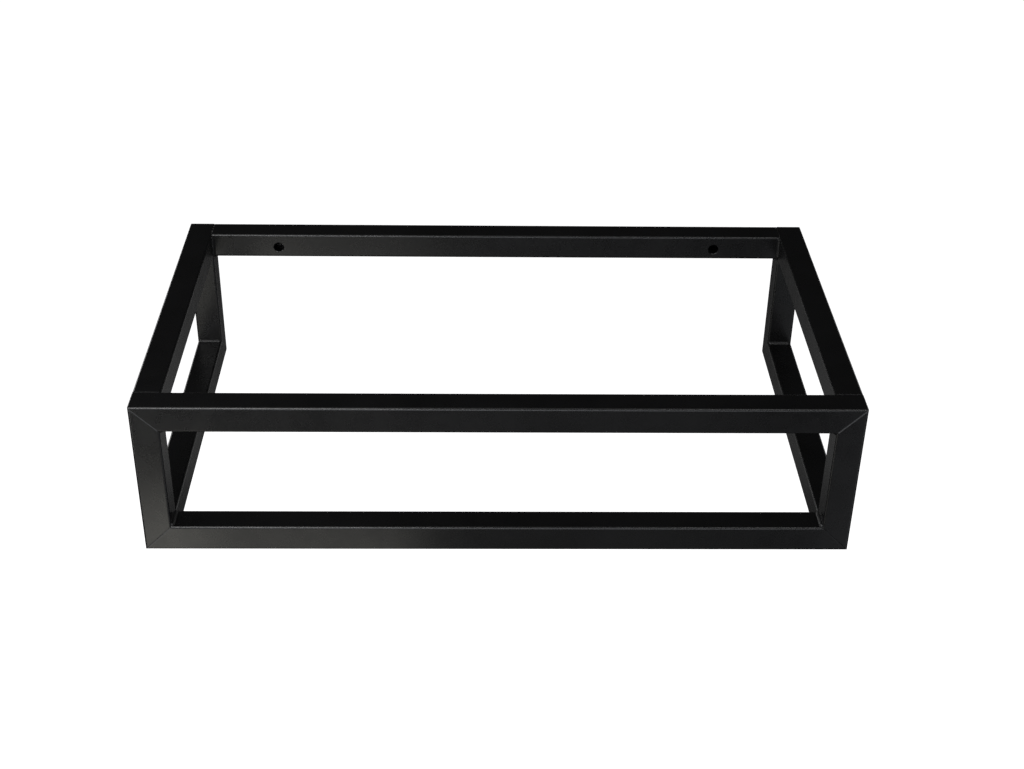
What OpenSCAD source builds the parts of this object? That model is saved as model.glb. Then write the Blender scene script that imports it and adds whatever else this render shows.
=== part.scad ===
// Wall-mounted washbasin frame of square steel tube.
// A mitred front frame, two side frames and a rear rail are welded into one rigid bracket.
// Axes: X runs along the wall, +Y points into the wall and +Z up, so the front faces -Y.
// The origin is on the wall plane, midway between the two wall screws.

/* [Overall size] */
// Width across the front
frame_w = 750; // [500:10:1200]
// Depth from the wall to the front face
frame_d = 415; // [300:5:600]
// Height from the underside to the top face
frame_h = 180; // [120:5:320]

/* [Square tube] */
// Outside width of the tube
tube_w = 30; // [20:1:40]
// Wall thickness of the tube
tube_wall = 2; // [1.2:0.1:3]
// Outside radius of the tube's long edges
tube_edge_r = 2.5; // [2:0.5:5]

/* [Wall fixing] */
// Distance from each end of the frame to the centre of its wall screw
hole_inset = 110; // [60:5:200]
// How far the wall screws lie below the middle of the rear rail
hole_offset = 2; // [0:0.5:3]
// Clearance hole for the screw, in the wall side of the rear rail
wall_hole_d = 7; // [4:0.5:8]
// Access hole for the screw head and its driver, in the front side of the rear rail
access_hole_d = 12; // [9:0.5:14]
// Edge taken off the rim of the access hole
rim_break = 0.6; // [0.2:0.1:1]

/* [Welds] */
// Leg of the fillet welds in the inside corners
bead_leg = 3; // [2:0.5:5]
// How far the filled seams lie below the faces beside them
seam_recess = 0.4; // [0.2:0.1:0.8]
// Width of the ground line along each mitre
mitre_line_w = 1.6; // [0.8:0.2:3]
// Depth of the ground line along each mitre
mitre_line_depth = 0.2; // [0.1:0.1:0.8]
// Radius ground on the outer corner of each mitre
corner_dress_r = 1.5; // [0.5:0.5:3]

/* [Hidden] */
$fn = 48;

steel_colour = [0.10, 0.10, 0.11];
weld_colour = [0.16, 0.16, 0.17];

// The wall screws lie at z = 0, a little below the middle of the rear rail
top_z = tube_w / 2 + hole_offset;
bottom_z = top_z - frame_h;
side_len = frame_d - tube_w;
rear_rail_len = frame_w - 2 * tube_w;
hole_x = frame_w / 2 - hole_inset;

// The radius inside the tube follows the outside one, but never closes up
inside_r = max(tube_edge_r - tube_wall, 0.5);
flat_w = tube_w - 2 * tube_edge_r;
// A filled seam stops short of the knife edge at its root
seam_root = tube_edge_r / 3;
// How far the weld's curved face bulges: the arc's centre lies this far behind the corner
bead_centre = 0.8 * bead_leg;
bead_face_r = sqrt(pow(bead_leg + bead_centre, 2) + pow(bead_centre, 2));
// Overrun of every cutter past the metal that it cuts
past = 1;

// ---------- Placing ----------

// The plane of the front frame: x along the front and z up, from the lower left corner
module front_plane() {
    translate([-frame_w / 2, -frame_d, bottom_z]) children();
}

// The plane of the left side frame: x from the wall to the front and z up, from the lower rear corner
module side_plane() {
    translate([-frame_w / 2, 0, bottom_z]) rotate([0, 0, -90]) children();
}

// Turns a bottom member of a plane into its top member
module at_top() {
    translate([0, 0, frame_h]) mirror([0, 0, 1]) children();
}

// Turns a member along x into one that stands up along z
module upright() {
    mirror([1, 0, -1]) children();
}

// The right half of the frame is the left one mirrored
module at_right() {
    mirror([1, 0, 0]) children();
}

// ---------- Tube ----------

module rounded_square(size, r) {
    square([size, size - 2 * r], center = true);
    square([size - 2 * r, size], center = true);
    for (x = [-1, 1], y = [-1, 1])
        translate([x, y] * (size / 2 - r)) circle(r);
}

// A length of tube along x, from the origin outwards, in y and z from 0 to tube_w
module square_cut_tube(length) {
    translate([0, tube_w / 2, tube_w / 2])
    rotate([90, 0, 90])
    linear_extrude(length)
    difference() {
        rounded_square(tube_w, tube_edge_r);
        rounded_square(tube_w - 2 * tube_wall, inside_r);
    }
}

// What the grinder takes off the sharp outer corner of a mitre
module corner_dressing() {
    difference() {
        translate([-past, -past]) square(corner_dress_r + past);
        translate([corner_dress_r, corner_dress_r]) circle(corner_dress_r);
    }
}

// The shallow line that grinding leaves along a mitre, on the side at y = 0
module mitre_line() {
    rotate([0, -45, 0])
    rotate([90, 0, 90])
    translate([0, 0, -past])
    linear_extrude(tube_w * sqrt(2) + 2 * past)
    polygon([
        [-mitre_line_depth, -mitre_line_w],
        [mitre_line_depth, 0],
        [-mitre_line_depth, mitre_line_w]
    ]);
}

// Cuts a tube's end at 45 degrees, with the long side of the tube at z = 0
module mitre_cut() {
    far = tube_w + past;
    translate([0, far, 0])
    rotate([90, 0, 0])
    linear_extrude(far + past) {
        polygon([[-past, -past], [far, far], [-past, far]]);
        corner_dressing();
    }
    mitre_line();
    translate([0, tube_w, 0]) mirror([0, 1, 0]) mitre_line();
}

module tube_mitred_at_start(length) {
    difference() {
        square_cut_tube(length);
        mitre_cut();
    }
}

module tube_mitred_at_both_ends(length) {
    difference() {
        tube_mitred_at_start(length);
        translate([length, 0, 0]) mirror([1, 0, 0]) mitre_cut();
    }
}

// ---------- Welds ----------

// A fillet weld in the corner between the two axes, with a slightly bulging face
module fillet_section() {
    intersection() {
        square(bead_leg);
        translate([-bead_centre, -bead_centre]) circle(bead_face_r);
    }
}

// Weld that fills the notch between a tube's round edge and the square end beside it
module seam_section() {
    difference() {
        translate([0, seam_recess]) square([tube_edge_r, tube_edge_r - seam_root - seam_recess]);
        translate([tube_edge_r, tube_edge_r]) circle(tube_edge_r);
    }
}

// Runs a section drawn in x and z across the flat width of a tube
module across_tube() {
    translate([0, tube_w - tube_edge_r, 0])
    rotate([90, 0, 0])
    linear_extrude(flat_w)
    children();
}

// Runs a section drawn in x and y up the flat height of a tube
module up_tube() {
    translate([0, 0, tube_edge_r]) linear_extrude(flat_w) children();
}

// Weld in the inside corner of a mitre
module mitre_weld() {
    across_tube() translate([tube_w, tube_w]) fillet_section();
}

// Weld around a square-cut tube that ends at x = 0 on a flat side
module butt_weld() {
    mirror([1, 0, 0]) {
        across_tube() translate([0, tube_w]) fillet_section();
        up_tube() translate([0, tube_w]) fillet_section();
    }
    across_tube() seam_section();
    up_tube() seam_section();
}

// ---------- Front frame ----------

module front_bottom_rail() {
    color(steel_colour) front_plane() tube_mitred_at_both_ends(frame_w);
}

module front_top_rail() {
    color(steel_colour) front_plane() at_top() tube_mitred_at_both_ends(frame_w);
}

module front_left_upright() {
    color(steel_colour) front_plane() upright() tube_mitred_at_both_ends(frame_h);
}

module weld_front_bottom_left() {
    color(weld_colour) front_plane() mitre_weld();
}

module weld_front_top_left() {
    color(weld_colour) front_plane() at_top() mitre_weld();
}

// ---------- Side frames ----------

module left_bottom_rail() {
    color(steel_colour) side_plane() tube_mitred_at_start(side_len);
}

module left_top_rail() {
    color(steel_colour) side_plane() at_top() tube_mitred_at_start(side_len);
}

module rear_left_upright() {
    color(steel_colour) side_plane() upright() tube_mitred_at_both_ends(frame_h);
}

module weld_rear_bottom_left() {
    color(weld_colour) side_plane() mitre_weld();
}

module weld_rear_top_left() {
    color(weld_colour) side_plane() at_top() mitre_weld();
}

module weld_left_bottom_rail() {
    color(weld_colour) side_plane() translate([side_len, 0, 0]) butt_weld();
}

module weld_left_top_rail() {
    color(weld_colour) side_plane() at_top() translate([side_len, 0, 0]) butt_weld();
}

// ---------- Rear rail ----------

// A wide hole for the screw head in the front side, and a small one for the screw in the wall side
module screw_passage() {
    rotate([90, 0, 0]) {
        translate([0, 0, -past]) cylinder(d = wall_hole_d, h = tube_w / 2 + past);
        translate([0, 0, tube_w / 2]) cylinder(d = access_hole_d, h = tube_w / 2 + past);
        translate([0, 0, tube_w - rim_break])
        cylinder(d1 = access_hole_d, d2 = access_hole_d + 2 * (rim_break + past), h = rim_break + past);
    }
}

module rear_top_rail() {
    color(steel_colour)
    difference() {
        translate([-rear_rail_len / 2, -tube_w, top_z - tube_w]) square_cut_tube(rear_rail_len);
        for (x = [-hole_x, hole_x]) translate([x, 0, 0]) screw_passage();
    }
}

module weld_rear_rail_right() {
    color(weld_colour)
    translate([rear_rail_len / 2, 0, top_z])
    mirror([0, 0, 1])
    mirror([0, 1, 0])
    butt_weld();
}

// ---------- The assembly ----------

front_top_rail();
front_bottom_rail();
front_left_upright();
at_right() front_left_upright();  // front_right_upright
left_top_rail();
at_right() left_top_rail();  // right_top_rail
left_bottom_rail();
at_right() left_bottom_rail();  // right_bottom_rail
rear_left_upright();
at_right() rear_left_upright();  // rear_right_upright
rear_top_rail();
weld_front_top_left();
at_right() weld_front_top_left();  // weld_front_top_right
weld_front_bottom_left();
at_right() weld_front_bottom_left();  // weld_front_bottom_right
weld_left_top_rail();
at_right() weld_left_top_rail();  // weld_right_top_rail
weld_left_bottom_rail();
at_right() weld_left_bottom_rail();  // weld_right_bottom_rail
weld_rear_top_left();
at_right() weld_rear_top_left();  // weld_rear_top_right
weld_rear_bottom_left();
at_right() weld_rear_bottom_left();  // weld_rear_bottom_right
at_right() weld_rear_rail_right();  // weld_rear_rail_left
weld_rear_rail_right();
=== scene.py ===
import math
import random

import bpy
from mathutils import Matrix, Vector


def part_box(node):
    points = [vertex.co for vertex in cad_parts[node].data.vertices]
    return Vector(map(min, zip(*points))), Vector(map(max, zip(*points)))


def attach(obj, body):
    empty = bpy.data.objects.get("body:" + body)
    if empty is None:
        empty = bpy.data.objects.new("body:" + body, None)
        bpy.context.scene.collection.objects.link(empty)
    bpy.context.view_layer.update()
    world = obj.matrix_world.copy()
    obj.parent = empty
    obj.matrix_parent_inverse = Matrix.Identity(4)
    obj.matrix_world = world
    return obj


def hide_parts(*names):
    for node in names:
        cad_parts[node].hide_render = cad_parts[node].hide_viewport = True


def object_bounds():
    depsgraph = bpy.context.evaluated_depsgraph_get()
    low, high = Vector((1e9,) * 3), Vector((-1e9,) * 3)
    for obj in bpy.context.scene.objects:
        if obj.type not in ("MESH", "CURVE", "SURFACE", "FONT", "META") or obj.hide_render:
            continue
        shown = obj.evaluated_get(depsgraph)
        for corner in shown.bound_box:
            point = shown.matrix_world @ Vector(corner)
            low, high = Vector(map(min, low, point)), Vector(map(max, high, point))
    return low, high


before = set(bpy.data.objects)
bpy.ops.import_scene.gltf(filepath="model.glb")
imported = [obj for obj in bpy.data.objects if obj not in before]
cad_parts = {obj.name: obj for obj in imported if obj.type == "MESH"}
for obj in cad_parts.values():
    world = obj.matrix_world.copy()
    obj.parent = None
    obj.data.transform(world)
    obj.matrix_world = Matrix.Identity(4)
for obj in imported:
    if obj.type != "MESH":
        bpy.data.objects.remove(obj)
cad_low, cad_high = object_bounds()

MM = 0.001
WHITE = (1.0, 1.0, 1.0)


# ---------- Measures taken from the frame ----------

side_low, side_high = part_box("left_top_rail")
foot_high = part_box("left_bottom_rail")[1]

TUBE = side_high.z - side_low.z

# The outside radius of the tube's edges, which the boxes of the frame don't tell
EDGE_R = 2.5 * MM
FLAT = TUBE - 2 * EDGE_R

# The faces that meet in the welded corners: half widths in x, places in y and z
INNER_X = cad_high.x - TUBE
OUTER_X = cad_high.x
FRONT_BACK_Y = side_low.y
REAR_FRONT_Y = cad_high.y - TUBE
TOP_UNDER_Z = side_low.z
FOOT_TOP_Z = foot_high.z

FRONT_MIDDLE_Y = cad_low.y + TUBE / 2
REAR_MIDDLE_Y = cad_high.y - TUBE / 2
SIDE_MIDDLE_X = cad_high.x - TUBE / 2
TOP_MIDDLE_Z = cad_high.z - TUBE / 2
FOOT_MIDDLE_Z = cad_low.z + TUBE / 2

X = Vector((1, 0, 0))
Y = Vector((0, 1, 0))
Z = Vector((0, 0, 1))


# ---------- Camera ----------

CAMERA_PLACE = Vector((-21.8, -1753.9, 888.2)) * MM
CAMERA_PITCH = math.radians(32.16)
CAMERA_YAW = math.radians(1.44)
CAMERA_ROLL = math.radians(0.97)
CAMERA_LENS_MM = 55.67


def make_camera():
    data = bpy.data.cameras.new("camera")
    data.sensor_width = 36
    data.lens = CAMERA_LENS_MM
    data.clip_start = 0.05
    data.clip_end = 50
    camera = bpy.data.objects.new("camera", data)
    bpy.context.scene.collection.objects.link(camera)
    turned = Matrix.Rotation(-CAMERA_YAW, 4, "Z")
    tipped = Matrix.Rotation(math.radians(90) - CAMERA_PITCH, 4, "X")
    rolled = Matrix.Rotation(CAMERA_ROLL, 4, "Z")
    camera.matrix_world = Matrix.Translation(CAMERA_PLACE) @ turned @ tipped @ rolled
    bpy.context.scene.camera = camera


# ---------- Node helpers ----------

# Most of a noise texture's values lie between these two
NOISE_LOW = 0.3
NOISE_HIGH = 0.7


def new_material(name):
    material = bpy.data.materials.new(name)
    material.use_nodes = True
    tree = material.node_tree
    return material, tree, tree.nodes["Principled BSDF"]


def noise(tree, scale, detail, roughness=0.5):
    node = tree.nodes.new("ShaderNodeTexNoise")
    node.inputs["Scale"].default_value = scale
    node.inputs["Detail"].default_value = detail
    node.inputs["Roughness"].default_value = roughness
    coordinates = tree.nodes.new("ShaderNodeTexCoord")
    tree.links.new(coordinates.outputs["Object"], node.inputs["Vector"])
    return node.outputs["Fac"]


def remap(tree, value, low, high, to_low, to_high):
    node = tree.nodes.new("ShaderNodeMapRange")
    node.inputs["From Min"].default_value = low
    node.inputs["From Max"].default_value = high
    node.inputs["To Min"].default_value = to_low
    node.inputs["To Max"].default_value = to_high
    tree.links.new(value, node.inputs["Value"])
    return node.outputs["Result"]


def ramp(tree, value, dark, light):
    node = tree.nodes.new("ShaderNodeValToRGB")
    node.color_ramp.elements[0].position = NOISE_LOW
    node.color_ramp.elements[0].color = (*dark, 1)
    node.color_ramp.elements[1].position = NOISE_HIGH
    node.color_ramp.elements[1].color = (*light, 1)
    tree.links.new(value, node.inputs["Fac"])
    return node.outputs["Color"]


def bump(tree, height, distance, strength, before=None):
    node = tree.nodes.new("ShaderNodeBump")
    node.inputs["Distance"].default_value = distance
    node.inputs["Strength"].default_value = strength
    tree.links.new(height, node.inputs["Height"])
    if before is not None:
        tree.links.new(before, node.inputs["Normal"])
    return node.outputs["Normal"]


def set_material(piece, material):
    piece.data.materials.clear()
    piece.data.materials.append(material)


# ---------- Materials ----------

# Scales are repeats per metre, as the nodes use the object's own coordinates in metres
COAT_IOR = 1.5
CLOUD_SCALE = 16
SHEEN_SCALE = 45
GRAIN_SCALE = 2600
GRAIN_HEIGHT = 0.02 * MM
GRAIN_STRENGTH = 0.2
PEEL_SCALE = 700
PEEL_HEIGHT = 0.05 * MM


def coat(name, dark, light, gloss_low, gloss_high, peel):
    """Satin black powder coat: faint clouding, uneven sheen and the orange peel of baked powder."""
    material, tree, shader = new_material(name)
    shader.inputs["IOR"].default_value = COAT_IOR
    clouds = ramp(tree, noise(tree, CLOUD_SCALE, 3), dark, light)
    tree.links.new(clouds, shader.inputs["Base Color"])
    sheen = remap(tree, noise(tree, SHEEN_SCALE, 4, 0.6), NOISE_LOW, NOISE_HIGH, gloss_low, gloss_high)
    tree.links.new(sheen, shader.inputs["Roughness"])
    grains = bump(tree, noise(tree, GRAIN_SCALE, 1), GRAIN_HEIGHT, GRAIN_STRENGTH)
    dimples = bump(tree, noise(tree, PEEL_SCALE, 2), PEEL_HEIGHT, peel, grains)
    tree.links.new(dimples, shader.inputs["Normal"])
    return material


def floor_paint():
    """Plain white that looks equally bright everywhere."""
    material, tree, shader = new_material("floor_paint")
    shader.inputs["Base Color"].default_value = (0.9, 0.9, 0.9, 1)
    shader.inputs["Roughness"].default_value = 0.9
    shader.inputs["Specular IOR Level"].default_value = 0.1
    shader.inputs["Emission Color"].default_value = (1, 1, 1, 1)
    shader.inputs["Emission Strength"].default_value = 1.0
    return material


# ---------- Weld beads ----------

# One ripple is left by each dab of the rod; the ripples bow towards the end of the run
RIPPLE_PITCH = 1.7 * MM
RIPPLE_BOW = 0.55
FILLET_LEG = 3.1 * MM
FILLET_BULGE = 0.17
FILLET_RIPPLE = 0.10
SEAM_RIPPLE = 0.07 * MM
ROUND_END = 2.2 * MM
END_FULLNESS = 0.3
STEP = 0.3 * MM
ARC_STEPS = 12

# How far a fillet reaches into the tubes behind it, and how far a seam dips at its ends
SINK = 0.2 * MM
SEAM_END_DROP = 0.4 * MM

# How much longer a weld is than the flat of the tube
FILLET_OVERRUN = 1.2 * MM
SEAM_OVERRUN = 0.6 * MM

# The size of a weld wanders: each step draws a new size and goes part of the way to it
WANDER = 0.05
WANDER_PULL = 0.35

# The dressed weld in a seam, across the seam and up from the face beside it, in edge radii
SEAM_FACE = [(0.0, -0.02), (0.10, -0.10), (0.20, -0.18), (0.32, -0.21),
             (0.45, -0.17), (0.60, -0.11), (0.90, -0.10)]
SEAM_ROOT = [(1.0, -0.33), (0.33, -0.8), (-0.1, -0.4), (-0.1, -0.2)]


def end_fullness(along, length):
    """How full a bead is at a place along it: 1 in the middle, falling off over its rounded ends."""
    from_end = min(along, length - along)
    if from_end >= ROUND_END:
        return 1
    short = 1 - from_end / ROUND_END
    return END_FULLNESS + (1 - END_FULLNESS) * math.sqrt(max(0, 1 - short * short))


def ripple(along, across):
    """Height of the ripples, 0 in the valleys and 1 on the crests. across is -1 to 1 over the bead."""
    phase = along / RIPPLE_PITCH + RIPPLE_BOW * (across * across - 1)
    return abs(math.sin(math.pi * phase))


def fillet_ring(along, length, wobble):
    """Cross-section of a fillet weld: pairs of distances along its two faces."""
    full = end_fullness(along, length)
    ring = []
    for i in range(ARC_STEPS + 1):
        turn = math.radians(90) * i / ARC_STEPS
        across = 2 * i / ARC_STEPS - 1
        chord = FILLET_LEG / (math.cos(turn) + math.sin(turn))
        swell = 1 + FILLET_BULGE * math.sin(2 * turn) + FILLET_RIPPLE * (ripple(along, across) - 0.5)
        reach = chord * swell * full * wobble
        ring.append((reach * math.cos(turn), reach * math.sin(turn)))
    ring[0] = (ring[0][0], -SINK)
    ring[-1] = (-SINK, ring[-1][1])
    ring.append((-SINK, -SINK))
    return ring


def seam_ring(along, length, wobble):
    """Cross-section of a seam weld: pairs of distances across the seam and up from the face."""
    full = end_fullness(along, length)
    ring = []
    for i, (across, up) in enumerate(SEAM_FACE):
        share = 2 * i / (len(SEAM_FACE) - 1) - 1
        crest = SEAM_RIPPLE * (ripple(along, share) - 0.5) * (1 - share * share)
        drop = (1 - full) * SEAM_END_DROP
        ring.append((across * EDGE_R, up * EDGE_R * wobble + crest - drop))
    for across, up in SEAM_ROOT:
        ring.append((across * EDGE_R, up * EDGE_R))
    return ring


class Run:
    """One straight weld: its middle, its direction and the two axes of its cross-section."""

    def __init__(self, make_ring, middle, along, first, second):
        self.make_ring = make_ring
        self.middle = middle
        self.along = along
        self.first = first
        self.second = second
        self.length = FLAT + (FILLET_OVERRUN if make_ring is fillet_ring else SEAM_OVERRUN)

    def rings(self, draws):
        """The cross-sections of the weld, one after another, as points in space."""
        start = self.middle - self.along * self.length / 2
        steps = round(self.length / STEP)
        wobble = 1
        for k in range(steps + 1):
            wobble += WANDER_PULL * (1 + draws.uniform(-WANDER, WANDER) - wobble)
            along = self.length * k / steps
            place = start + self.along * along
            ring = self.make_ring(along, self.length, wobble)
            yield [place + self.first * a + self.second * b for a, b in ring]


def add_run(run, points, faces, draws):
    """Adds one weld to a mesh as a closed tube of rings."""
    rings = list(run.rings(draws))
    count = len(rings[0])
    base = len(points)
    flip = run.first.cross(run.second).dot(run.along) < 0
    for ring in rings:
        points.extend(ring)
    new_faces = [tuple(reversed(range(base, base + count)))]
    for k in range(len(rings) - 1):
        low = base + k * count
        for i in range(count):
            j = (i + 1) % count
            new_faces.append((low + i, low + j, low + count + j, low + count + i))
    top = base + (len(rings) - 1) * count
    new_faces.append(tuple(range(top, top + count)))
    faces.extend(tuple(reversed(face)) if flip else face for face in new_faces)


def make_bead(node, runs, material, draws):
    """The welded joint that a CAD node stands for, as one piece."""
    points = []
    faces = []
    for run in runs:
        add_run(run, points, faces, draws)
    mesh = bpy.data.meshes.new("bead_" + node)
    mesh.from_pydata([tuple(point) for point in points], [], faces)
    for polygon in mesh.polygons:
        polygon.use_smooth = len(polygon.vertices) == 4
    piece = bpy.data.objects.new("bead_" + node, mesh)
    bpy.context.scene.collection.objects.link(piece)
    set_material(piece, material)
    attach(piece, "root")
    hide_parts(node)


def front_corner(side, level_z, inward):
    """Fillet in an inside corner of the front frame."""
    middle = Vector((side * INNER_X, FRONT_MIDDLE_Y, level_z))
    return [Run(fillet_ring, middle, Y, -side * X, inward)]


def rear_corner(side, level_z, inward):
    """Fillet in an inside corner of a side frame, at the wall."""
    middle = Vector((side * SIDE_MIDDLE_X, REAR_FRONT_Y, level_z))
    return [Run(fillet_ring, middle, X, -Y, inward)]


def side_rail_end(side, inner_z, outer_z, middle_z, inward):
    """Two fillets and two seams around a side rail, where it ends on the back of the front frame."""
    under = Vector((side * SIDE_MIDDLE_X, FRONT_BACK_Y, inner_z))
    within = Vector((side * INNER_X, FRONT_BACK_Y, middle_z))
    over = Vector((side * SIDE_MIDDLE_X, FRONT_BACK_Y, outer_z))
    outside = Vector((side * OUTER_X, FRONT_BACK_Y, middle_z))
    return [
        Run(fillet_ring, under, X, Y, inward),
        Run(fillet_ring, within, Z, Y, -side * X),
        Run(seam_ring, over, X, -Y, -inward),
        Run(seam_ring, outside, Z, -Y, side * X),
    ]


def rear_rail_end(side):
    """Two fillets and two seams around the end of the rear rail, on the inside of a side frame."""
    under = Vector((side * INNER_X, REAR_MIDDLE_Y, TOP_UNDER_Z))
    before = Vector((side * INNER_X, REAR_FRONT_Y, TOP_MIDDLE_Z))
    over = Vector((side * INNER_X, REAR_MIDDLE_Y, cad_high.z))
    behind = Vector((side * INNER_X, cad_high.y, TOP_MIDDLE_Z))
    return [
        Run(fillet_ring, under, Y, -side * X, -Z),
        Run(fillet_ring, before, Z, -side * X, -Y),
        Run(seam_ring, over, Y, side * X, Z),
        Run(seam_ring, behind, Z, side * X, Y),
    ]


def make_welds(material):
    draws = random.Random(7)
    for name, side in (("left", -1), ("right", 1)):
        joints = {
            "weld_front_top_" + name: front_corner(side, TOP_UNDER_Z, -Z),
            "weld_front_bottom_" + name: front_corner(side, FOOT_TOP_Z, Z),
            "weld_rear_top_" + name: rear_corner(side, TOP_UNDER_Z, -Z),
            "weld_rear_bottom_" + name: rear_corner(side, FOOT_TOP_Z, Z),
            f"weld_{name}_top_rail": side_rail_end(side, TOP_UNDER_Z, cad_high.z, TOP_MIDDLE_Z, -Z),
            f"weld_{name}_bottom_rail": side_rail_end(side, FOOT_TOP_Z, cad_low.z, FOOT_MIDDLE_Z, Z),
            "weld_rear_rail_" + name: rear_rail_end(side),
        }
        for node, runs in joints.items():
            make_bead(node, runs, material, draws)


# ---------- Stage ----------

FLOOR_DROP = 1500 * MM
FLOOR_RADIUS = 14
FLOOR_CORNERS = 96
ROOM_LIGHT = 0.02
ROOM_AS_SEEN = 1.0


def hide_from_reflections(piece):
    """The stage is seen but throws no light and no shadow, so the black tubes don't mirror it."""
    piece.visible_diffuse = False
    piece.visible_glossy = False
    piece.visible_transmission = False
    piece.visible_shadow = False


def make_floor(material):
    """The frame hangs on a wall, so the floor lies well below it and out of the way of low views."""
    mesh = bpy.data.meshes.new("floor")
    turns = [math.tau * i / FLOOR_CORNERS for i in range(FLOOR_CORNERS)]
    ring = [(FLOOR_RADIUS * math.cos(turn), FLOOR_RADIUS * math.sin(turn), 0) for turn in turns]
    mesh.from_pydata(ring, [], [tuple(range(FLOOR_CORNERS))])
    floor = bpy.data.objects.new("floor", mesh)
    floor.location.z = cad_low.z - FLOOR_DROP
    bpy.context.scene.collection.objects.link(floor)
    set_material(floor, material)
    hide_from_reflections(floor)


def soft_panel(name, place, aim, width, height, brightness, colour=WHITE):
    """A panel of light that looks this bright from the object, and doesn't show in the picture."""
    data = bpy.data.lights.new(name, "AREA")
    data.shape = "RECTANGLE"
    data.size = width
    data.size_y = height
    data.energy = math.pi * width * height * brightness
    data.color = colour
    light = bpy.data.objects.new(name, data)
    light.location = place
    light.rotation_euler = (Vector(aim) - Vector(place)).to_track_quat("-Z", "Y").to_euler()
    light.visible_camera = False
    bpy.context.scene.collection.objects.link(light)


def make_lights():
    """Panels stand where the faces and edges of the frame mirror them, in metres."""
    middle = (cad_low + cad_high) / 2
    corner = Vector((-0.36, cad_low.y, -0.15))
    low_middle = Vector((0, -0.3, -0.1))
    aside = 0.3 * X
    warm = (1.0, 0.98, 0.90)
    cool = (0.93, 0.95, 1.0)
    soft_panel("near_edge", (-0.42, -1.05, 0.55), corner, 0.60, 0.18, 11)
    soft_panel("strip_left", (-0.85, -1.43, 1.80), middle, 0.90, 0.30, 3.0)
    soft_panel("strip_right", (0.85, -1.43, 1.80), middle, 0.90, 0.30, 6.0)
    soft_panel("high_front", (0, -1.52, 1.90), middle, 2.3, 0.95, 0.5, cool)
    soft_panel("high_front_left", (-0.85, -1.43, 1.80), middle, 0.95, 0.95, 2.0)
    soft_panel("high_left", (-2.09, -0.29, 0.85), middle, 0.95, 0.95, 3.5)
    soft_panel("front", (0, -2.47, 0), middle, 1.52, 1.14, 2.5, cool)
    soft_panel("mitre_glow", (-0.95, -1.39, -0.55), corner, 0.30, 0.30, 3.5)
    soft_panel("corner_glow", (-0.456, -0.712, -0.40), corner, 0.15, 0.15, 1.5, warm)
    soft_panel("corner_strip", (-0.28, -0.80, -0.47), corner, 0.35, 0.14, 1.1, warm)
    soft_panel("low_middle", (0, -1.42, -0.86), low_middle, 0.95, 0.76, 0.12)
    soft_panel("low_right", (1.04, -1.14, -0.86), low_middle + aside, 0.86, 0.86, 0.53, cool)
    soft_panel("low_left", (-1.04, -1.14, -0.86), low_middle - aside, 0.86, 0.86, 0.30, warm)
    soft_panel("wide_left", (-1.90, 1.50, 0.20), middle, 1.0, 1.0, 2.6)
    soft_panel("wide_right", (1.90, 1.50, 0.20), middle, 1.0, 1.0, 0.9)
    soft_panel("behind_left", (-0.86, 1.52, -1.05), middle, 1.14, 0.95, 0.24)
    soft_panel("behind_right", (0.86, 1.52, -1.05), middle, 1.14, 0.95, 0.35)

    # Dim panels, so that the outer sides, the wall side and the top can be made out from there
    soft_panel("side_left", (-2.20, -0.10, -0.35), middle, 1.4, 0.9, 0.35)
    soft_panel("side_right", (2.20, -0.10, -0.35), middle, 1.4, 0.9, 0.35)
    soft_panel("wall_side", (0, 2.20, -0.35), middle, 2.0, 0.6, 0.3)
    soft_panel("overhead", (0, -0.20, 2.40), middle, 1.6, 1.6, 0.3)


def make_world():
    """A dim room that looks pale behind the object."""
    world = bpy.data.worlds.new("studio")
    world.use_nodes = True
    tree = world.node_tree
    background = tree.nodes["Background"]
    background.inputs["Color"].default_value = (1, 1, 1, 1)
    path = tree.nodes.new("ShaderNodeLightPath")
    seen = remap(tree, path.outputs["Is Camera Ray"], 0, 1, ROOM_LIGHT, ROOM_AS_SEEN)
    tree.links.new(seen, background.inputs["Strength"])
    bpy.context.scene.world = world


# ---------- Scene ----------

make_camera()
make_world()
make_lights()
make_floor(floor_paint())

tube_coat = coat("powder_coat", (0.0032, 0.0032, 0.0034), (0.0056, 0.0056, 0.0059), 0.25, 0.30, 0.15)
# The welds get a rougher coat than the tubes, and a base colour a shade lighter: painted highlight,
# for the light line that the welded seams catch
weld_coat_painted_highlight = coat("coated_weld", (0.0040, 0.0040, 0.0042), (0.0070, 0.0070, 0.0073), 0.33, 0.42, 0.25)
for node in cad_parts.values():
    set_material(node, tube_coat)
make_welds(weld_coat_painted_highlight)

bpy.context.scene.view_settings.view_transform = "Standard"
